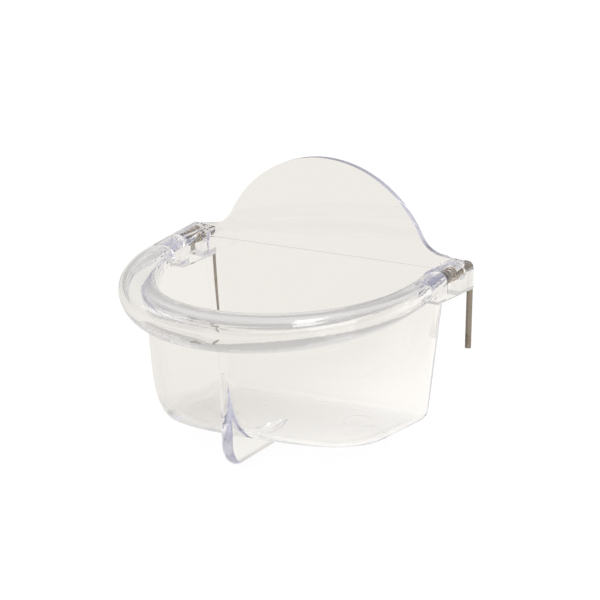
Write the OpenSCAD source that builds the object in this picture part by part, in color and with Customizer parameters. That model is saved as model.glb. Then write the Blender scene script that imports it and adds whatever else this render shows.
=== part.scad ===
// Clear hang-on seed cup for a wire cage.
// One moulded cup with a rounded perch lip, a splash guard and two rear ears.
// A sprung wire hook turns and slides in each ear and grips the cage wires.
// Modelling datum: the fold between back wall and guard is at height zero,
// X runs to the right, Y towards the cage, Z up, all in millimetres.

/* [Perch lip] */
// Half width of the cup over the outer faces of its ears
ear_half_w = 48; // [44:0.1:56]
// How far the centre line of the lip's straight ends lies inside the ears' outer faces
lip_end_in = 2.4; // [1.8:0.1:3]
// Depth of the lip's half ellipse in front of its straight ends
lip_depth = 47.5; // [40:0.1:55]
// Distance from the guard plane to where the lip starts to curve
lip_turn_y = 22.1; // [18:0.1:28]
// Width of the lip outside its centre line at the thin rear ends
lip_a_rear = 1.7; // [1.2:0.1:2.4]
// Width of the lip outside its centre line at the front
lip_a_front = 7.1; // [5:0.1:9]
// Width of the lip inside its centre line at the rear ends
lip_in_rear = 4.8; // [4.2:0.1:5.6]
// Width of the lip inside its centre line at the front
lip_in_front = 7.1; // [6:0.1:8]
// Half height of the lip's section at its thin rear ends
lip_b_rear = 1.6; // [1.2:0.1:2.4]
// Half height of the lip's section at the front
lip_b_front = 5.8; // [4.5:0.1:7]
// How much deeper the lip's outer side reaches below its centre line than above it, at the front
lip_skirt = 1.3; // [0:0.1:2.2]
// Height of the lip's centre line at the guard
lip_rear_z = 2.0; // [1:0.1:3]
// Drop of the lip's centre line from guard to front
lip_drop = 9.7; // [6:0.1:12]
// Wall of the lip over its hollow underside
lip_wall = 2.4; // [1.8:0.1:3]

/* [Basin] */
// How far the top of each side wall lies inside the ears' outer faces
side_in = 5.6; // [5:0.1:6.4]
// How far each side wall leans in from top to bottom
side_draft = 6.8; // [4:0.1:9]
// How far the top of the front wall lies behind the lip's centre line
front_in = 2.5; // [1:0.1:4]
// How far the front wall leans in from top to bottom
front_draft = 10; // [6:0.1:14]
// Depth of the basin's underside below the fold
basin_depth = 48; // [42:0.1:54]
// Radius of the front bottom edge
front_round = 17; // [12:0.1:19]
// Radius of the side bottom edges
side_round = 3; // [2.2:0.1:6]
// Wall of the basin and its floor
wall = 1.8; // [1.2:0.1:2.2]
// How far the back wall leans back at the bottom
back_lean = 0.8; // [0.2:0.1:2]
// Outer radius of the upright rear corners, whose wall keeps its thickness round the bend
corner_r = 4.3; // [2.6:0.1:6]

/* [Splash guard] */
// Height of the guard above the fold
guard_h = 29.2; // [24:0.1:36]
// How much the guard's crown radius is less than the cup's half width
crown_in = 11.5; // [9:0.1:14]
// Radius of the hollow curve at each foot of the guard
foot_r = 9; // [5:0.1:10]
// Height of the guard's feet where they meet the ears
foot_h = 3.9; // [3:0.1:5]
// Thickness of the guard
guard_t = 2; // [1.4:0.1:2.6]

/* [Ears] */
// Width of an ear
ear_w = 6.8; // [6.4:0.1:7.4]
// Length of an ear in front of the guard
ear_front = 18.5; // [17:0.1:20]
// Length of an ear behind the guard
ear_rear = 4.5; // [3:0.1:6]
// Height of an ear's top above the fold
ear_top = 2.4; // [2.2:0.1:3.6]
// Depth of an ear below the fold
ear_low = 6.6; // [5:0.1:8]
// Length of the open window under the spring
window_len = 8.6; // [7:0.1:10]
// Radius of an ear's rounded edges
ear_round = 2.4; // [1:0.1:2.6]
// Radius of an ear's small rounded edges
ear_edge = 0.9; // [0.4:0.1:1.4]
// Length over which an ear's top runs down into the lip
ear_slope = 6; // [3:0.1:8]

/* [Hooks] */
// Diameter of the hook wire
wire_d = 1.9; // [1.5:0.1:2.1]
// How far a hook's shank lies inside the ear's outer face
shank_in = 3; // [2.8:0.05:3.4]
// Gap between an ear's rear face and the hook's leg, for a cage wire
wire_gap = 2.65; // [2:0.05:4]
// Depth of a hook's leg end below the fold
leg_low = 26; // [20:0.1:34]
// Height of the shank's axis below the fold
shank_low = 0.25; // [0:0.05:0.8]
// Radius of the hook's bend at the wire's centre line
bend_r = 1.9; // [1.5:0.1:2.4]
// Radial clearance of the shank in its bore
bore_clear = 0.08; // [0.03:0.01:0.1]
// Lean of each leg towards the middle, degrees
leg_lean = 1.5; // [0:0.1:4]

/* [Springs and washers] */
// Outer diameter of a spring
spring_d = 3.8; // [3.4:0.1:4.2]
// Wire diameter of a spring
spring_wire = 0.55; // [0.4:0.05:0.6]
// Free length of a spring
spring_len = 9.4; // [8.6:0.1:10]
// Number of turns in a spring
spring_turns = 4.5; // [3.5:0.5:5.5]
// Clearance of a spring in its seat
spring_clear = 0.2; // [0.15:0.05:0.25]
// Thickness of the push-on washer
washer_t = 0.6; // [0.4:0.05:0.8]
// Clearance of the washer in the spring's seat
washer_slack = 0.3; // [0.2:0.05:0.4]
// Clearance of the washer on its shank
washer_clear = 0.03; // [0.01:0.01:0.05]
// How far the shank's tip stands out of the washer
tip_out = 1.2; // [0.6:0.1:2]

/* [Foot rib] */
// How far the rib's lower edge reaches below the basin's underside
rib_below = 5; // [2:0.1:8]
// Thickness of the rib
rib_t = 3.6; // [2:0.1:4.4]
// How far the rib stands out in front of the basin's front wall at the bottom
rib_proud = 3.9; // [2:0.1:6]
// How far the rib's upper tip stands out in front of the wall
rib_tip = 0.3; // [0.1:0.05:0.8]
// Length of the rib from front to rear
rib_len = 34.8; // [28:0.1:40]
// Radius of the rib's front lower corner
rib_round = 8; // [4:0.1:10]
// Height of the rib's front from its lower edge to its tip on the wall
rib_h = 30; // [22:0.1:36]
// Rise of the rib's lower edge towards its rear end
rib_rise = 1.6; // [0.4:0.1:3]

/* [Hidden] */
$fn = 48;

// Counts of the faceted surfaces
front_steps = 42;
straight_levels = 5;
corner_steps = 6;
lip_sides = 12;
inner_sides = 6;
channel_sides = 12;

// Plan of the basin: power of its front curve, top and bottom
top_power_share = 2.1;
low_power_share = 3.1;
// Angles of the bottom edge's levels as shares of a quarter turn
level_shares = [0, 0.17, 0.34, 0.5, 0.66, 0.79, 0.9, 1];
// Level of the lip's inner lower edge below its centre line, as a share of its half height
lip_low_share = 0.6;
// Level where the basin's outer skin stops inside the lip, as a share of the lip's half height
skin_top_share = -0.2;
// Angle up the lip's inner side at which the cavity starts
mouth_turn = 8;
// Overrun of every cut
over = 1;

// Sizes that follow from the ones above
lip_half_w = ear_half_w - lip_end_in;
basin_top_half_w = ear_half_w - side_in;
basin_low_half_w = basin_top_half_w - side_draft;
basin_top_reach = lip_depth - front_in;
basin_low_reach = basin_top_reach - front_draft;
crown_r = ear_half_w - crown_in;
hook_half_w = ear_half_w - shank_in;
leg_back = ear_rear + wire_gap + wire_d / 2;
rib_depth = basin_depth + rib_below;
rib_front = lip_turn_y + basin_low_reach + rib_proud;

// Place of the datum in the part's frame
front_y = lip_turn_y + lip_depth + lip_a_front;
rear_y = leg_back + wire_d / 2;
shift_y = (front_y - rear_y) / 2;
shift_z = rib_depth;

// Guard and back wall
guard_back = guard_t / 2;
crown_z = guard_h - crown_r;
foot_dz = foot_h + foot_r - crown_z;
foot_x = sqrt(pow(crown_r + foot_r, 2) - pow(foot_dz, 2));
meet_x = foot_x * crown_r / (crown_r + foot_r);
meet_z = crown_z + foot_dz * crown_r / (crown_r + foot_r);

// Ear and pocket
ear_mid = hook_half_w;
ear_in = ear_half_w - ear_w;
foot_end = ear_half_w - ear_round / 2;
seat_d = spring_d + 2 * spring_clear;
bore_d = wire_d + 2 * bore_clear;
washer_d = seat_d - 2 * washer_slack;
seat_y = 0;
spring_front = seat_y - spring_len;
washer_front = spring_front - washer_t;
shank_tip = washer_front - tip_out;
pocket_front = shank_tip - over;
shank_z = -shank_low;

function lerp(p, q, t) = p + (q - p) * t;
function clamp(v) = max(0, min(1, v));
function round_in(r, t) = r * (1 - sqrt(max(0, 1 - t * t)));
function lip_z(y) = lip_rear_z + lip_drop * y / (lip_turn_y + lip_depth);
function lip_share(y) = clamp(-y / (lip_turn_y + lip_depth));
function lip_a(y) = lerp(lip_a_rear, lip_a_front, lip_share(y));
function lip_b(y) = lerp(lip_b_rear, lip_b_front, lip_share(y));
function lip_c(y) = lip_b(y) + lip_skirt * lip_share(y);
function lip_in(y) = lerp(lip_in_rear, lip_in_front, lip_share(y));

// One point of the basin's skin at a height and a depth into the wall
function skin_s(z) = clamp(-z / basin_depth);
function skin_in(z, w, r) = round_in(r - w, clamp((r - basin_depth - z) / (r - w)));
function skin_a(z, w) = lerp(basin_top_half_w, basin_low_half_w, skin_s(z)) - w - skin_in(z, w, side_round);
function skin_b(z, w) = lerp(basin_top_reach, basin_low_reach, skin_s(z)) - w - skin_in(z, w, front_round);
function skin_n(z) = lerp(top_power_share, low_power_share, skin_s(z));
function skin_back(z, w) = guard_back + back_lean * skin_s(z) - w - skin_in(z, w, side_round);
function sgn_pow(c, e) = sign(c) * pow(abs(c), e);
function front_pt(t, z, w) = [
    skin_a(z, w) * sgn_pow(cos(t), 2 / skin_n(z)),
    -lip_turn_y - skin_b(z, w) * pow(abs(sin(t)), 2 / skin_n(z)),
    z];
function back_pt(s, t, z, w) = [
    s * (skin_a(z, w) - (corner_r - w) * (1 - cos(t))),
    skin_back(z, w) - (corner_r - w) * (1 - sin(t)),
    z];

// Levels of the basin follow the tilted lip above and lie flat near the floor
function top_z(y) = lip_z(y) + skin_top_share * lip_b(y);
function front_y_at(t) = -lip_turn_y - basin_top_reach * pow(abs(sin(t)), 2 / top_power_share);
function level_z(j, y, w) =
    j < straight_levels
    ? lerp(w > 0 ? lip_z(y) : top_z(y), front_round - basin_depth, j / straight_levels)
    : w - basin_depth + (front_round - w) * (1 - sin(90 * level_shares[j - straight_levels]));
levels = straight_levels + len(level_shares);
function corner_turn(k) = 90 * k / corner_steps;
function skin_ring(j, w) = concat(
    [for (k = [0:corner_steps]) back_pt(1, corner_turn(k), level_z(j, 0, w), w)],
    [for (k = [0:corner_steps]) back_pt(-1, corner_turn(corner_steps - k), level_z(j, 0, w), w)],
    [for (i = [0:front_steps]) let (t = 180 + 180 * i / front_steps)
        front_pt(t, level_z(j, front_y_at(t), w), w)]);
ring_n = 2 * (corner_steps + 1) + front_steps + 1;

// Mouth of the basin: its edge follows the lip's inner side, with room above it
function mouth_pt(i, up) =
    let (t = 180 + 180 * i / front_steps,
        q = [lip_half_w * cos(t), -lip_turn_y + lip_depth * sin(t)],
        o = [lip_depth * cos(t), lip_half_w * sin(t)],
        n = o / norm(o), e = lip_in(q[1]) * cos(mouth_turn) + up)
    [q[0] - n[0] * e, q[1] - n[1] * e, lip_z(q[1]) + lip_b(q[1]) * sin(mouth_turn) + up];
function mouth_back(s, t, up) =
    let (p = back_pt(s, t, 0, wall))
    [p[0], p[1], lip_rear_z + lip_b_rear * sin(mouth_turn) + up];
function mouth_ring(up) = concat(
    [for (k = [0:corner_steps]) mouth_back(1, corner_turn(k), up)],
    [for (k = [0:corner_steps]) mouth_back(-1, corner_turn(corner_steps - k), up)],
    [for (i = [0:front_steps]) mouth_pt(i, up)]);

// Walls and caps of a stack of closed rings, lowest ring last
module stack(points, n, rings) {
    side = [for (j = [0:rings - 2]) for (i = [0:n - 1])
        let (a = j * n + i, b = j * n + (i + 1) % n, c = a + n, d = b + n)
        each [[a, b, c], [b, d, c]]];
    top = [for (i = [1:n - 2]) [0, i + 1, i]];
    low = (rings - 1) * n;
    bottom = [for (i = [1:n - 2]) [low, low + i, low + i + 1]];
    polyhedron(points = points, faces = concat(side, top, bottom), convexity = 6);
}

module basin_skin(w) {
    stack([for (j = [0:levels - 1]) each skin_ring(j, w)], ring_n, levels);
}

module cavity() {
    stack(
        concat(
            mouth_ring(2 * over),
            mouth_ring(0),
            [for (j = [1:levels - 1]) each skin_ring(j, wall)]),
        ring_n, levels + 1);
}

// Path of the lip from the right ear round the front to the left ear
lip_path_n = front_steps + 4;
function lip_t(i) = 180 * (i - 2) / front_steps;
function lip_pt(i) =
    i < 2
    ? [lip_half_w, -lip_turn_y * i / 2]
    : i > front_steps + 2
    ? [-lip_half_w, -lip_turn_y * (lip_path_n - i) / 2]
    : [lip_half_w * cos(lip_t(i)), -lip_turn_y - lip_depth * sin(lip_t(i))];
// Outward normal of the path in plan
function lip_out(i) =
    i < 2
    ? [1, 0]
    : i > front_steps + 2
    ? [-1, 0]
    : let (o = [lip_depth * cos(lip_t(i)), -lip_half_w * sin(lip_t(i))]) o / norm(o);

// The lip's section is rounder outside than inside, and its underside inside is cut by the cavity
function lip_ring(i) =
    let (p = lip_pt(i), o = lip_out(i), a = lip_a(p[1]), b = lip_b(p[1]), e = lip_in(p[1]), z = lip_z(p[1]))
    concat(
        [for (k = [0:lip_sides]) let (t = 180 * k / lip_sides - 90, h = t < 0 ? lip_c(p[1]) : b)
            [p[0] + o[0] * a * cos(t), p[1] + o[1] * a * cos(t), z + h * sin(t)]],
        [for (k = [1:inner_sides]) let (t = 90 + 90 * k / inner_sides)
            [p[0] + o[0] * e * cos(t), p[1] + o[1] * e * cos(t), z + b * sin(t)]],
        [[p[0] - o[0] * e, p[1] - o[1] * e, z - lip_low_share * b]]);

module lip_bead() {
    stack(
        [for (i = [0:lip_path_n]) each lip_ring(lip_path_n - i)],
        lip_sides + inner_sides + 2, lip_path_n + 1);
}

// The lip is hollow below: a tunnel with a round roof that opens downwards
function channel_ring(i) =
    let (p = lip_pt(i), o = lip_out(i), y = p[1],
        a = max(lip_wall / 8, lip_a(y) - lip_wall), b = max(lip_wall / 8, lip_b(y) - lip_wall),
        e = lip_in(y) - lip_wall, z = lip_z(y), low = z - lip_c(y) - over)
    concat(
        [for (k = [0:channel_sides]) let (t = 180 * k / channel_sides, r = t > 90 ? e : a)
            [p[0] + o[0] * r * cos(t), p[1] + o[1] * r * cos(t), z + b * sin(t)]],
        [[p[0] - o[0] * e, p[1] - o[1] * e, low], [p[0] + o[0] * a, p[1] + o[1] * a, low]]);

module lip_channel() {
    first = 2;
    last = lip_path_n - 2;
    stack(
        [for (i = [first:last]) each channel_ring(first + last - i)],
        channel_sides + 3, last - first + 1);
}

module guard() {
    translate([0, guard_back, 0])
        rotate([90, 0, 0])
            linear_extrude(height = guard_t)
                difference() {
                    union() {
                        intersection() {
                            translate([0, crown_z]) circle(r = crown_r, $fn = 96);
                            translate([-meet_x, 0]) square([2 * meet_x, guard_h + over]);
                        }
                        polygon([
                            [-foot_end, 0], [foot_end, 0], [foot_end, ear_top - ear_round / 4],
                            [ear_mid, (foot_h + ear_top) / 2], [foot_x, foot_h], [foot_x, meet_z],
                            [-foot_x, meet_z], [-foot_x, foot_h],
                            [-ear_mid, (foot_h + ear_top) / 2], [-foot_end, ear_top - ear_round / 4]]);
                    }
                    for (s = [-1, 1])
                        translate([s * foot_x, foot_h + foot_r]) circle(r = foot_r, $fn = 64);
                }
}

// What is cut off a square corner to round it; the quarter turns it to each corner
module corner_cut(at, r, quarter) {
    translate(at)
        rotate(90 * quarter)
            difference() {
                translate([-over, -over]) square(r + over);
                translate([r, r]) circle(r = r, $fn = 32);
            }
}

// Ear in side view: its top runs down into the lip in front
module ear_side() {
    difference() {
        polygon([
            [-ear_front, -ear_low],
            [ear_rear, -ear_low],
            [ear_rear, ear_top],
            [ear_slope - ear_front, ear_top],
            [-ear_front, ear_top - ear_slope / 2]]);
        corner_cut([-ear_front, -ear_low], ear_round, 0);
        corner_cut([ear_rear, ear_top], ear_edge, 2);
    }
}

// Ear in rear view, rounded along its top edges
module ear_end() {
    difference() {
        translate([ear_in, -ear_low]) square([ear_w, ear_low + ear_top]);
        corner_cut([ear_half_w, ear_top], ear_round, 2);
        corner_cut([ear_in, ear_top], ear_edge, 3);
        corner_cut([ear_half_w, -ear_low], ear_edge, 1);
    }
}

module ear_body() {
    intersection() {
        rotate([90, 0, 90])
            linear_extrude(height = ear_half_w + over)
                ear_side();
        translate([0, ear_rear, 0])
            rotate([90, 0, 0])
                linear_extrude(height = ear_front + ear_rear)
                    ear_end();
    }
}

module along_y(y0, y1, d) {
    translate([0, y1, 0]) rotate([90, 0, 0]) cylinder(d = d, h = y1 - y0);
}

module ear_cuts() {
    translate([ear_mid, 0, shank_z]) {
        along_y(pocket_front, seat_y, seat_d);
        along_y(seat_y - over, ear_rear + over, bore_d);
        translate([-seat_d / 2, pocket_front, -ear_low])
            cube([seat_d, window_len, ear_low]);
    }
}

// Foot rib: layers of one outline, each set in a little more, give its front and lower edge a full round
rib_half = rib_t / 2;
rib_run = rib_len - rib_round;
rib_tilt = atan(rib_rise / rib_run);
rib_mid = [rib_round - rib_front, rib_round - rib_depth];
rib_crest = rib_h - rib_depth;
rib_tip_y = lip_turn_y + skin_b(rib_crest, 0) + rib_tip;
rib_layers = [8, 26, 45, 66, 90];

module rib_layer(inset, half) {
    turn = rib_round - inset;
    heel = rib_mid + turn * [sin(rib_tilt), -cos(rib_tilt)];
    end = heel + rib_run * [cos(rib_tilt), sin(rib_tilt)];
    translate([0, 0, -half])
        linear_extrude(height = 2 * half)
            polygon(concat(
                [[inset - rib_tip_y, rib_crest]],
                [for (k = [0:8]) rib_mid - turn * [cos(90 * k / 8), sin(90 * k / 8)]],
                [end, [end[0], wall / 2 - basin_depth]]));
}

module rib() {
    difference() {
        rotate([90, 0, 90])
            hull()
                for (t = rib_layers)
                    rib_layer(rib_half * (1 - cos(t)), rib_half * sin(t));
        cavity();
    }
}

module in_place() {
    translate([0, shift_y, shift_z]) children();
}

module cup() {
    color("whitesmoke", 0.45)
        in_place()
            difference() {
                union() {
                    difference() {
                        union() {
                            basin_skin(0);
                            difference() {
                                lip_bead();
                                lip_channel();
                            }
                        }
                        cavity();
                    }
                    guard();
                    rib();
                    for (s = [0, 1]) mirror([s, 0, 0]) ear_body();
                }
                for (s = [0, 1]) mirror([s, 0, 0]) ear_cuts();
            }
}

module hook() {
    translate([hook_half_w, 0, shank_z])
        rotate([0, leg_lean, 0]) {
            along_y(shank_tip, leg_back - bend_r, wire_d);
            translate([0, leg_back - bend_r, -bend_r])
                rotate([90, 0, 90])
                    rotate_extrude(angle = 90)
                        translate([bend_r, 0]) circle(d = wire_d, $fn = 32);
            translate([0, leg_back, shank_low - leg_low])
                cylinder(d = wire_d, h = leg_low - shank_low - bend_r);
        }
}

module hook_right() {
    color("dimgray") in_place() hook();
}

module hook_left() {
    color("dimgray") in_place() mirror([1, 0, 0]) hook();
}

module washer() {
    translate([hook_half_w, 0, shank_z])
        difference() {
            along_y(washer_front, spring_front, washer_d);
            along_y(washer_front - over, spring_front + over, wire_d + 2 * washer_clear);
        }
}

module washer_right() {
    color("gray") in_place() washer();
}

module washer_left() {
    color("gray") in_place() mirror([1, 0, 0]) washer();
}

// Spring: one tube wound round the shank, ground flat at both ends
coil_r = (spring_d - spring_wire) / 2;
coil_rings = ceil(spring_turns * 8);
coil_sides = 6;
coil_lead = spring_len / spring_turns;
function coil_at(u) = [
    coil_r * cos(360 * u), coil_r * sin(360 * u), coil_lead * u];
function coil_dir(u) =
    let (v = [-coil_r * 2 * PI * sin(360 * u), coil_r * 2 * PI * cos(360 * u), coil_lead]) v / norm(v);
function coil_ring(u) =
    let (p = coil_at(u), d = coil_dir(u), o = [cos(360 * u), sin(360 * u), 0], w = cross(d, o))
    [for (k = [0:coil_sides - 1]) let (t = 360 * (k + 0.5) / coil_sides)
        p + (o * cos(t) + w * sin(t)) * spring_wire / 2];

// Least gap between turns, measured on the centre line less one wire
coil_pts = [for (i = [0:coil_rings]) coil_at(spring_turns * i / coil_rings)];
coil_far = [for (i = [0:coil_rings]) for (j = [i + 6:1:coil_rings]) norm(coil_pts[i] - coil_pts[j])];
coil_gap = min(coil_far) - spring_wire;
echo(str("least gap of the spring to itself, mm: ", coil_gap));

module spring() {
    translate([hook_half_w, spring_front, shank_z])
        rotate([-90, 0, 0])
            intersection() {
                stack(
                    [for (i = [0:coil_rings]) each coil_ring(spring_turns * (1 - i / coil_rings))],
                    coil_sides, coil_rings + 1);
                cylinder(d = spring_d + over, h = spring_len);
            }
}

module spring_right() {
    color("goldenrod") in_place() spring();
}

module spring_left() {
    color("goldenrod") in_place() mirror([1, 0, 0]) spring();
}

cup();
hook_left();
hook_right();
spring_left();
spring_right();
washer_left();
washer_right();
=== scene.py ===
import math

import bmesh
import bpy
from mathutils import Matrix, Quaternion, Vector


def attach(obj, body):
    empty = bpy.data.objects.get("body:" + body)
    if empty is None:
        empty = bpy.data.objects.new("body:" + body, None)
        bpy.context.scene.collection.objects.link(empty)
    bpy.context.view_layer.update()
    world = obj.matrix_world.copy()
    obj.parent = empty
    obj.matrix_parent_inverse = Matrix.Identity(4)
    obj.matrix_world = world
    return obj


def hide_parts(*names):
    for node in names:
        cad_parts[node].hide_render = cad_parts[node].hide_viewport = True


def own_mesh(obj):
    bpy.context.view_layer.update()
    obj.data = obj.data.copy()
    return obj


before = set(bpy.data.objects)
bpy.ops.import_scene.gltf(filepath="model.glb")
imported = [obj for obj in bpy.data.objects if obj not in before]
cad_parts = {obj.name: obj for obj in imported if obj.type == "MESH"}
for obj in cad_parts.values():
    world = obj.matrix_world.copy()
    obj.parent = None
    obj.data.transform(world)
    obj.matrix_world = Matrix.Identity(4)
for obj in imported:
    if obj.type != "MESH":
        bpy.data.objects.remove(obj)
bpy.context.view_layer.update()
scene = bpy.context.scene
print("frame loaded")


def addObject(name, data):
    made = bpy.data.objects.new(name, data)
    scene.collection.objects.link(made)
    return made


def addMesh(name, work):
    mesh = bpy.data.meshes.new(name)
    work.to_mesh(mesh)
    work.free()
    return addObject(name, mesh)


# the photograph's camera: a long lens, low and from the right
cameraView = {
    "azimuth": 29.652,
    "elevation": 15.086,
    "distance": 1.8231,
    "target": (-0.00924, 0.033825, 0.03661),
    "lens": 360.0,
    "sensor": 36.0,
    "clipStart": 0.05,
    "clipEnd": 30.0,
}

cameraData = bpy.data.cameras.new("photoCamera")
cameraData.sensor_width = cameraView["sensor"]
cameraData.lens = cameraView["lens"]
cameraData.dof.use_dof = False
cameraData.clip_start = cameraView["clipStart"]
cameraData.clip_end = cameraView["clipEnd"]
photoCamera = addObject("photoCamera", cameraData)
turn = math.radians(cameraView["azimuth"])
rise = math.radians(cameraView["elevation"])
backwards = Vector((math.sin(turn) * math.cos(rise), -math.cos(turn) * math.cos(rise), math.sin(rise)))
photoCamera.location = Vector(cameraView["target"]) + backwards * cameraView["distance"]
photoCamera.rotation_mode = "QUATERNION"
photoCamera.rotation_quaternion = (-backwards).to_track_quat("-Z", "Y")
scene.camera = photoCamera
scene.view_settings.view_transform = "Standard"
scene.view_settings.look = "None"
# light crosses many walls in clear plastic, so its paths are long
longestPath = 28
lastDepth = longestPath - 1.5  # a ray deeper than this is at the end of its path
for limit in ("max_bounces", "transmission_bounces", "glossy_bounces"):
    setattr(scene.cycles, limit, longestPath)
print("camera set")


# a socket value is a constant, or another node's output to link
def setSocket(tree, socket, value):
    if isinstance(value, bpy.types.NodeSocket):
        tree.links.new(value, socket)
    elif socket.type == "RGBA":
        socket.default_value = (*value, 1)
    else:
        socket.default_value = value


def setSockets(tree, node, **sockets):
    for name, value in sockets.items():
        setSocket(tree, node.inputs[name.replace("_", " ")], value)


def addNode(tree, kind, **sockets):
    node = tree.nodes.new(kind)
    setSockets(tree, node, **sockets)
    return node


def addMath(tree, operation, *values, clamp=False):
    node = addNode(tree, "ShaderNodeMath")
    node.operation = operation
    node.use_clamp = clamp
    for socket, value in zip(node.inputs, values):
        setSocket(tree, socket, value)
    return node.outputs["Value"]


def addMix(tree, share, first, second, blend="MIX"):
    node = addNode(tree, "ShaderNodeMix")
    node.data_type = "RGBA"
    node.blend_type = blend
    for slot, value in ((0, share), (6, first), (7, second)):  # 6 and 7 are the two colours
        setSocket(tree, node.inputs[slot], value)
    return node.outputs[2]


def addSpan(tree, value, span, result=(0.0, 1.0), smooth=False):
    node = addNode(tree, "ShaderNodeMapRange", Value=value)
    node.interpolation_type = "SMOOTHSTEP" if smooth else "LINEAR"
    setSockets(tree, node, From_Min=span[0], From_Max=span[1], To_Min=result[0], To_Max=result[1])
    return node.outputs["Result"]


# 1 at the middle, falling to 0 at half to either side
def addPulse(tree, value, middle, half):
    away = addMath(tree, "ABSOLUTE", addMath(tree, "SUBTRACT", value, middle))
    return addMath(tree, "SUBTRACT", 1.0, addMath(tree, "DIVIDE", away, half), clamp=True)


# level distance from a point of the plan
def addReach(tree, split, across, deep):
    offset = addNode(tree, "ShaderNodeCombineXYZ",
                     X=addMath(tree, "SUBTRACT", split.outputs["X"], across),
                     Y=addMath(tree, "SUBTRACT", split.outputs["Y"], deep))
    reach = addNode(tree, "ShaderNodeVectorMath")
    reach.operation = "LENGTH"
    setSocket(tree, reach.inputs[0], offset.outputs["Vector"])
    return reach.outputs["Value"]


def newMaterial(name):
    material = bpy.data.materials.new(name)
    material.use_nodes = True
    return material, material.node_tree, material.node_tree.nodes["Principled BSDF"]


# moulded clear plastic: faintly violet in its thick parts, with soft ripples from the mould
clearPlastic = {
    "tint": (0.99, 0.985, 0.98),
    "index": 1.57,
    "depthColour": (0.47, 0.465, 0.60),
    "depthStrength": 10.0,
    # painted glow of the walls where a ray ends deep inside them, dimmer low down
    "paintedGlow": (0.37, 0.37, 0.38),
    "paintedGlowLow": (0.14, 0.14, 0.16),
    "lowBelow": (0.006, 0.026),
    "rippleSize": 90.0,
    "rippleDetail": 1.0,
    "rippleStrength": 0.12,
    "rippleHeight": 0.00004,
    "roughness": (0.012, 0.045),
    "wearSpan": (0.75, 1.35),
    "smudgeSize": 38.0,
    "smudgeDetail": 3.0,
    "smudgeRoughness": 0.6,
    "scratchSize": 260.0,
    "scratchDetail": 2.0,
    "scratchStretch": 0.05,
    "scratchTurn": 37.0,
    "marks": {
        "ejectorRing": {"across": 0.0209, "deep": 0.0180, "radius": 0.0057, "half": 0.0005, "rise": 0.9},
        "gateDot": {"across": -0.01315, "deep": 0.0196, "radius": 0.0, "half": 0.0012, "rise": 4.0},
        "sideDot": {"across": 0.03165, "deep": 0.0118, "radius": 0.0, "half": 0.0009, "rise": 3.0},
    },
    "markStrength": 0.6,
    "markHeight": 0.00005,
    "floorLevel": (0.0055, 0.0075),
    "floorEdge": 4.0,
    "crease": {"level": 0.0531, "half": 0.00022, "height": 0.00018, "face": 0.0325, "near": 0.0012, "span": 0.0405},
}


# ejector ring and gate marks on the basin's floor, and the crease across the guard's foot
def addMouldMarks(tree, split):
    low, high = clearPlastic["floorLevel"]
    onFloor = addPulse(tree, split.outputs["Z"], (low + high) / 2, (high - low) / 2)
    onFloor = addMath(tree, "MULTIPLY", onFloor, clearPlastic["floorEdge"], clamp=True)
    crease = clearPlastic["crease"]
    height = addMath(tree, "MULTIPLY", addPulse(tree, split.outputs["Z"], crease["level"], crease["half"]),
                     crease["height"] / clearPlastic["markHeight"])
    fromFace = addMath(tree, "ABSOLUTE", addMath(tree, "SUBTRACT", split.outputs["Y"], crease["face"]))
    onFace = addMath(tree, "LESS_THAN", fromFace, crease["near"])
    between = addMath(tree, "LESS_THAN", addMath(tree, "ABSOLUTE", split.outputs["X"]), crease["span"])
    height = addMath(tree, "MULTIPLY", height, addMath(tree, "MULTIPLY", onFace, between))
    for mark in clearPlastic["marks"].values():
        reach = addReach(tree, split, mark["across"], mark["deep"])
        raised = addMath(tree, "MULTIPLY", addPulse(tree, reach, mark["radius"], mark["half"]), onFloor)
        height = addMath(tree, "ADD", height, addMath(tree, "MULTIPLY", raised, mark["rise"]))
    return height


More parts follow.
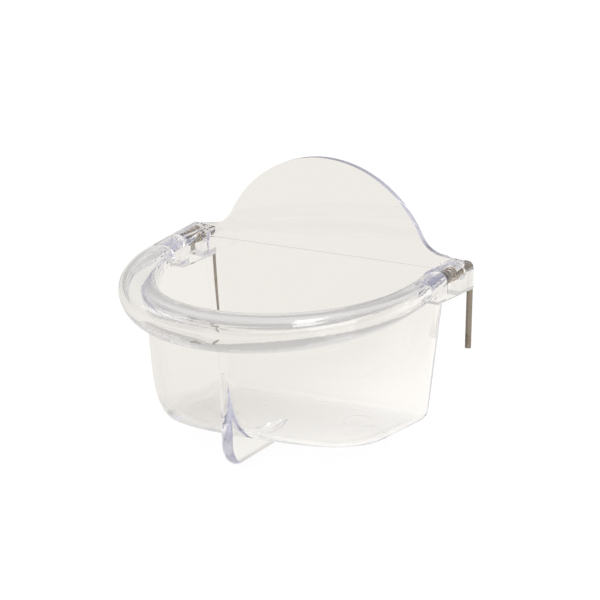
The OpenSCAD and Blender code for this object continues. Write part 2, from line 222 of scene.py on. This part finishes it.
def makeClearPlastic():
    material, tree, shader = newMaterial("clearPlastic")
    place = addNode(tree, "ShaderNodeTexCoord").outputs["Object"]
    split = addNode(tree, "ShaderNodeSeparateXYZ", Vector=place)
    ripples = addNode(tree, "ShaderNodeTexNoise", Vector=place, Scale=clearPlastic["rippleSize"],
                      Detail=clearPlastic["rippleDetail"])
    rippled = addNode(tree, "ShaderNodeBump", Strength=clearPlastic["rippleStrength"],
                      Distance=clearPlastic["rippleHeight"], Height=ripples.outputs["Fac"])
    marked = addNode(tree, "ShaderNodeBump", Strength=clearPlastic["markStrength"],
                     Distance=clearPlastic["markHeight"], Height=addMouldMarks(tree, split),
                     Normal=rippled.outputs["Normal"])
    # handling: cloudy smudges, and hairline scratches that only roughen the polish
    smudges = addNode(tree, "ShaderNodeTexNoise", Vector=place, Scale=clearPlastic["smudgeSize"],
                      Detail=clearPlastic["smudgeDetail"], Roughness=clearPlastic["smudgeRoughness"])
    lean = addNode(tree, "ShaderNodeMapping", Vector=place, Scale=(1, 1, clearPlastic["scratchStretch"]),
                   Rotation=(0, math.radians(clearPlastic["scratchTurn"]), 0))
    scratches = addNode(tree, "ShaderNodeTexNoise", Vector=lean.outputs["Vector"],
                        Scale=clearPlastic["scratchSize"], Detail=clearPlastic["scratchDetail"])
    wear = addMath(tree, "ADD", smudges.outputs["Fac"], scratches.outputs["Fac"])
    # painted glow: where a ray ends deep between the walls, they glow a soft grey in place of the light still
    # caught there
    path = addNode(tree, "ShaderNodeLightPath")
    caught = addMath(tree, "GREATER_THAN", path.outputs["Ray Depth"], lastDepth)
    # the painted glow is dimmer down at the foot rib, a painted shade there
    share = addSpan(tree, split.outputs["Z"], clearPlastic["lowBelow"])
    left = addMix(tree, share, clearPlastic["paintedGlowLow"], clearPlastic["paintedGlow"])
    setSockets(tree, shader, Base_Color=clearPlastic["tint"], IOR=clearPlastic["index"], Transmission_Weight=1.0,
               Roughness=addSpan(tree, wear, clearPlastic["wearSpan"], clearPlastic["roughness"]),
               Normal=marked.outputs["Normal"], Emission_Color=addMix(tree, caught, (0, 0, 0), left),
               Emission_Strength=1.0)
    depth = addNode(tree, "ShaderNodeVolumeAbsorption", Density=clearPlastic["depthStrength"],
                    Color=clearPlastic["depthColour"])
    setSockets(tree, tree.nodes["Material Output"], Volume=depth.outputs["Volume"])
    return material


# drawn steel, dull plated: a colour and a roughness each, with one grain and tarnish for all three
wireSteel = {
    "hooks": ((0.285, 0.245, 0.20), 0.36),
    "springs": ((0.42, 0.33, 0.22), 0.3),
    "washers": ((0.30, 0.28, 0.26), 0.4),
    "brightening": 1.35,
    "polish": 0.08,
    "dulling": 0.2,
    "grainSize": 1400.0,
    "grainDetail": 4.0,
    "grainShare": 0.45,
    "grainStrength": 0.5,
    "grainHeight": 0.000006,
    "tarnish": (0.19, 0.15, 0.11),
    "tarnishSize": 260.0,
    "tarnishDetail": 5.0,
    "tarnishSpan": (0.52, 0.72),
}


def makeSteelGrain():
    tree = bpy.data.node_groups.new("steelGrain", "ShaderNodeTree")
    inputs = {"Vector": "NodeSocketVector", "Grain Size": "NodeSocketFloat", "Tarnish Size": "NodeSocketFloat",
              "Clean": "NodeSocketColor", "Tarnish": "NodeSocketColor", "Roughness": "NodeSocketFloat"}
    outputs = {"Color": "NodeSocketColor", "Roughness": "NodeSocketFloat", "Height": "NodeSocketFloat"}
    for way, sockets in (("INPUT", inputs), ("OUTPUT", outputs)):
        for name, kind in sockets.items():
            tree.interface.new_socket(name, in_out=way, socket_type=kind)
    given = addNode(tree, "NodeGroupInput").outputs
    grain = addNode(tree, "ShaderNodeTexNoise", Vector=given["Vector"], Scale=given["Grain Size"],
                    Detail=wireSteel["grainDetail"])
    patches = addNode(tree, "ShaderNodeTexNoise", Vector=given["Vector"], Scale=given["Tarnish Size"],
                      Detail=wireSteel["tarnishDetail"])
    spread = addSpan(tree, patches.outputs["Fac"], wireSteel["tarnishSpan"], smooth=True)
    shade = addMix(tree, wireSteel["grainShare"], given["Clean"], grain.outputs["Color"], blend="MULTIPLY")
    scatter = addMath(tree, "MULTIPLY_ADD", patches.outputs["Fac"], wireSteel["dulling"], given["Roughness"])
    addNode(tree, "NodeGroupOutput", Color=addMix(tree, spread, shade, given["Tarnish"]), Roughness=scatter,
            Height=grain.outputs["Fac"])
    return tree


steelGrain = makeSteelGrain()


def makeSteel(name, colour, roughness):
    material, tree, shader = newMaterial(name)
    place = addNode(tree, "ShaderNodeTexCoord")
    surface = addNode(tree, "ShaderNodeGroup")
    surface.node_tree = steelGrain
    setSockets(tree, surface, Vector=place.outputs["Object"], Grain_Size=wireSteel["grainSize"],
               Tarnish_Size=wireSteel["tarnishSize"], Tarnish=wireSteel["tarnish"],
               Clean=[part * wireSteel["brightening"] for part in colour],
               Roughness=roughness - wireSteel["polish"])
    relief = addNode(tree, "ShaderNodeBump", Strength=wireSteel["grainStrength"],
                     Distance=wireSteel["grainHeight"], Height=surface.outputs["Height"])
    setSockets(tree, shader, Base_Color=surface.outputs["Color"], Roughness=surface.outputs["Roughness"],
               Normal=relief.outputs["Normal"], Metallic=1.0)
    return material


plasticMaterial = makeClearPlastic()
hookMaterial = makeSteel("hookSteel", *wireSteel["hooks"])
springMaterial = makeSteel("springSteel", *wireSteel["springs"])
washerMaterial = makeSteel("washerSteel", *wireSteel["washers"])
print("materials made")


def finishPiece(work, name, material, body, nodeName):
    piece = addMesh(name, work)
    piece.data.materials.append(material)
    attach(piece, body)
    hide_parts(nodeName)
    return piece


# the moulded cup, a smooth-shaded copy of its solid whose foot rib fades out towards the back
cupShell = {
    "weld": 0.000002,
    "sharpAngle": 34.0,
    "normalWeight": 50,
    "ribHalf": 0.0019,
    "ribEnd": (0.0079, 0.0085),
    "ribEndHeight": 0.0003,
    "floorUnder": 0.005,
    "fadeFrom": -0.001,
    "cutReach": 0.000001,
    "slack": 0.0001,
}


def fadeRib(work):
    half, under, slack = cupShell["ribHalf"], cupShell["floorUnder"], cupShell["slack"]
    rib = [f for f in work.faces if all(abs(v.co.x) < half and v.co.z < under + slack for v in f.verts)]
    edges = list({e for f in rib for e in f.edges})
    verts = list({v for f in rib for v in f.verts})
    bmesh.ops.bisect_plane(work, geom=rib + edges + verts, dist=cupShell["cutReach"],
                           plane_co=(0, cupShell["fadeFrom"], 0), plane_no=(0, 1, 0))
    nearest, farthest = cupShell["ribEnd"]
    ended = [v for v in work.verts
             if abs(v.co.x) < half and nearest < v.co.y < farthest and v.co.z < under - slack]
    for vert in ended:
        vert.co.z = under - cupShell["ribEndHeight"] * (1 - abs(vert.co.x) / half)
    print("rib faded", len(ended))


def makeCup():
    work = bmesh.new()
    work.from_mesh(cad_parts["cup"].data)
    bmesh.ops.remove_doubles(work, verts=work.verts, dist=cupShell["weld"])
    bmesh.ops.dissolve_degenerate(work, edges=work.edges, dist=cupShell["weld"])
    fadeRib(work)
    for face in work.faces:
        face.smooth = True
    limit = math.radians(cupShell["sharpAngle"])
    for edge in work.edges:
        edge.smooth = len(edge.link_faces) == 2 and edge.calc_face_angle(0) < limit
    piece = finishPiece(work, "cupShell", plasticMaterial, "cup", "cup")
    weighted = piece.modifiers.new("evenNormals", "WEIGHTED_NORMAL")
    weighted.keep_sharp = True
    weighted.weight = cupShell["normalWeight"]
    return piece


cupPiece = makeCup()
print("cup made", len(cupPiece.data.polygons))

# a wound spring on each hook's shank, with its end turns closed up
spring = {
    "radius": 0.001625,
    "wire": 0.000275,
    "sides": 12,
    "turns": 4.5,
    "stepsPerTurn": 28,
    "closedTurns": 0.75,
    "closedShare": 0.14,
    "front": 0.024425,
    "seat": 0.033825,
    "across": 0.045,
    "height": 0.05275,
    "pulledShare": 5.4 / 9.4,
}


def makeSpring(side, sideName, name):
    work = bmesh.new()
    first = Vector((spring["radius"], spring["wire"], 0))
    made = bmesh.ops.create_circle(work, segments=spring["sides"], radius=spring["wire"],
                                   matrix=Matrix.Translation(first))
    length = spring["seat"] - spring["front"] - 2 * spring["wire"]
    closed = spring["closedShare"] * length
    ends = (spring["closedTurns"], closed / 2)
    middle = (spring["turns"] - 2 * spring["closedTurns"], length - closed)
    geometry = made["verts"] + list({e for v in made["verts"] for e in v.link_edges})
    for turns, travel in (ends, middle, ends):
        steps = round(turns * spring["stepsPerTurn"])
        spun = bmesh.ops.spin(work, geom=geometry, cent=(0, 0, 0), axis=(0, 1, 0), dvec=(0, travel / steps, 0),
                              angle=turns * 2 * math.pi, steps=steps, use_merge=False)
        geometry = spun["geom_last"]
    bmesh.ops.holes_fill(work, edges=[e for e in work.edges if e.is_boundary], sides=0)
    bmesh.ops.recalc_face_normals(work, faces=work.faces)
    for face in work.faces:
        face.smooth = len(face.verts) == 4
    bmesh.ops.scale(work, vec=(side, 1, 1), verts=work.verts)
    if side < 0:
        bmesh.ops.reverse_faces(work, faces=work.faces)
    place = (side * spring["across"], spring["front"], spring["height"])
    bmesh.ops.translate(work, vec=place, verts=work.verts)
    piece = finishPiece(work, name, springMaterial, "coil_" + sideName, "spring_" + sideName)
    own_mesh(piece)


makeSpring(1, "right", "springCoilRight")
makeSpring(-1, "left", "springCoilLeft")
print("springs wound")

metalParts = {
    "hook_left": hookMaterial,
    "hook_right": hookMaterial,
    "washer_left": washerMaterial,
    "washer_right": washerMaterial,
}
for nodeName, material in metalParts.items():
    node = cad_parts[nodeName]
    node.data.materials.clear()
    node.data.materials.append(material)
print("metal parts dressed")

# floor, surroundings and soft lights: both backgrounds are white to the camera, and tinted through the clear walls,
# where the floor carries painted light and a painted shadow
studio = {
    "floorSize": 12.0,
    "floorDrop": 0.0002,
    "floorGrey": 0.12,
    "paper": (0.93, 0.93, 0.93),
    "behindClear": (0.76, 0.74, 0.70),
    # painted light: the floor seen through the walls is brighter to the right
    "paintedLightRight": (0.95, 0.935, 0.90),
    "behindSpan": (-0.045, 0.025),
    # painted shadow: a soft darker patch under the basin's left front, seen only through the walls
    "paintedFootShadow": (0.56, 0.54, 0.51),
    "paintedShadowPlace": (-0.022, -0.03),
    "paintedShadowReach": (0.004, 0.024),
    "backdrop": (1.0, 1.0, 1.0),
    "heights": {
        "low": (0.0, (0.54, 0.535, 0.525)),
        "wall": (0.2, (0.57, 0.565, 0.555)),
        "window": (0.44, (0.80, 0.79, 0.775)),
        "ceiling": (1.0, (0.72, 0.71, 0.70)),
    },
    "aim": (0, 0, 0.04),
    "lights": {
        "top": {"place": (0.1, 0.2, 1.6), "size": (0.7, 0.7), "power": 1.2, "roll": 0},
        "left": {"place": (-1.25, -0.15, 1.15), "size": (0.6, 0.9), "power": 2.6, "roll": 0},
        "right": {"place": (1.3, -0.6, 0.8), "size": (0.9, 0.5), "power": 2.0, "roll": 0},
        "strip": {"place": (0.2, -0.02, 1.5), "size": (0.24, 0.7), "power": 3.0, "roll": -54},
    },
}


def makeFloor():
    work = bmesh.new()
    bmesh.ops.create_grid(work, x_segments=2, y_segments=2, size=studio["floorSize"] / 2)
    bmesh.ops.translate(work, vec=(0, 0, -studio["floorDrop"]), verts=work.verts)
    floor = addMesh("studioFloor", work)
    material, tree, shader = newMaterial("floorPaper")
    straight = addNode(tree, "ShaderNodeLightPath")
    place = addNode(tree, "ShaderNodeTexCoord")
    split = addNode(tree, "ShaderNodeSeparateXYZ", Vector=place.outputs["Object"])
    # seen through the walls: a painted brightening to the right, and a painted shadow in a soft patch under the
    # basin's left front
    across = addSpan(tree, split.outputs["X"], studio["behindSpan"], smooth=True)
    beyond = addMix(tree, across, studio["behindClear"], studio["paintedLightRight"])
    reach = addReach(tree, split, *studio["paintedShadowPlace"])
    fade = addSpan(tree, reach, studio["paintedShadowReach"], smooth=True)
    paintedShaded = addMix(tree, fade, studio["paintedFootShadow"], beyond)
    glow = addMix(tree, straight.outputs["Is Camera Ray"], paintedShaded, studio["paper"])
    setSockets(tree, shader, Base_Color=(studio["floorGrey"],) * 3, Roughness=1.0, Specular_IOR_Level=0.0,
               Emission_Color=glow, Emission_Strength=1.0)
    floor.data.materials.append(material)


def makeSurroundings():
    world = bpy.data.worlds.new("studioWorld")
    scene.world = world
    world.use_nodes = True
    tree = world.node_tree
    place = addNode(tree, "ShaderNodeTexCoord")
    split = addNode(tree, "ShaderNodeSeparateXYZ", Vector=place.outputs["Generated"])
    ramp = addNode(tree, "ShaderNodeValToRGB", Fac=split.outputs["Z"])
    for index, (level, colour) in enumerate(studio["heights"].values()):
        if index > 1:  # a new ramp has two stops
            ramp.color_ramp.elements.new(level)
        ramp.color_ramp.elements[index].position = level
        ramp.color_ramp.elements[index].color = (*colour, 1)
    straight = addNode(tree, "ShaderNodeLightPath")
    seen = addMix(tree, straight.outputs["Is Camera Ray"], ramp.outputs["Color"], studio["backdrop"])
    setSockets(tree, tree.nodes["Background"], Color=seen)


def makeLights():
    for name, softbox in studio["lights"].items():
        lightData = bpy.data.lights.new(name + "Softbox", "AREA")
        lightData.shape = "RECTANGLE"
        lightData.size, lightData.size_y = softbox["size"]
        lightData.energy = softbox["power"]
        light = addObject(name + "Softbox", lightData)
        light.location = softbox["place"]
        light.rotation_mode = "QUATERNION"
        facing = (Vector(studio["aim"]) - Vector(softbox["place"])).to_track_quat("-Z", "Y")
        light.rotation_quaternion = facing @ Quaternion((0, 0, 1), math.radians(softbox["roll"]))


makeFloor()
makeSurroundings()
makeLights()
print("studio set")
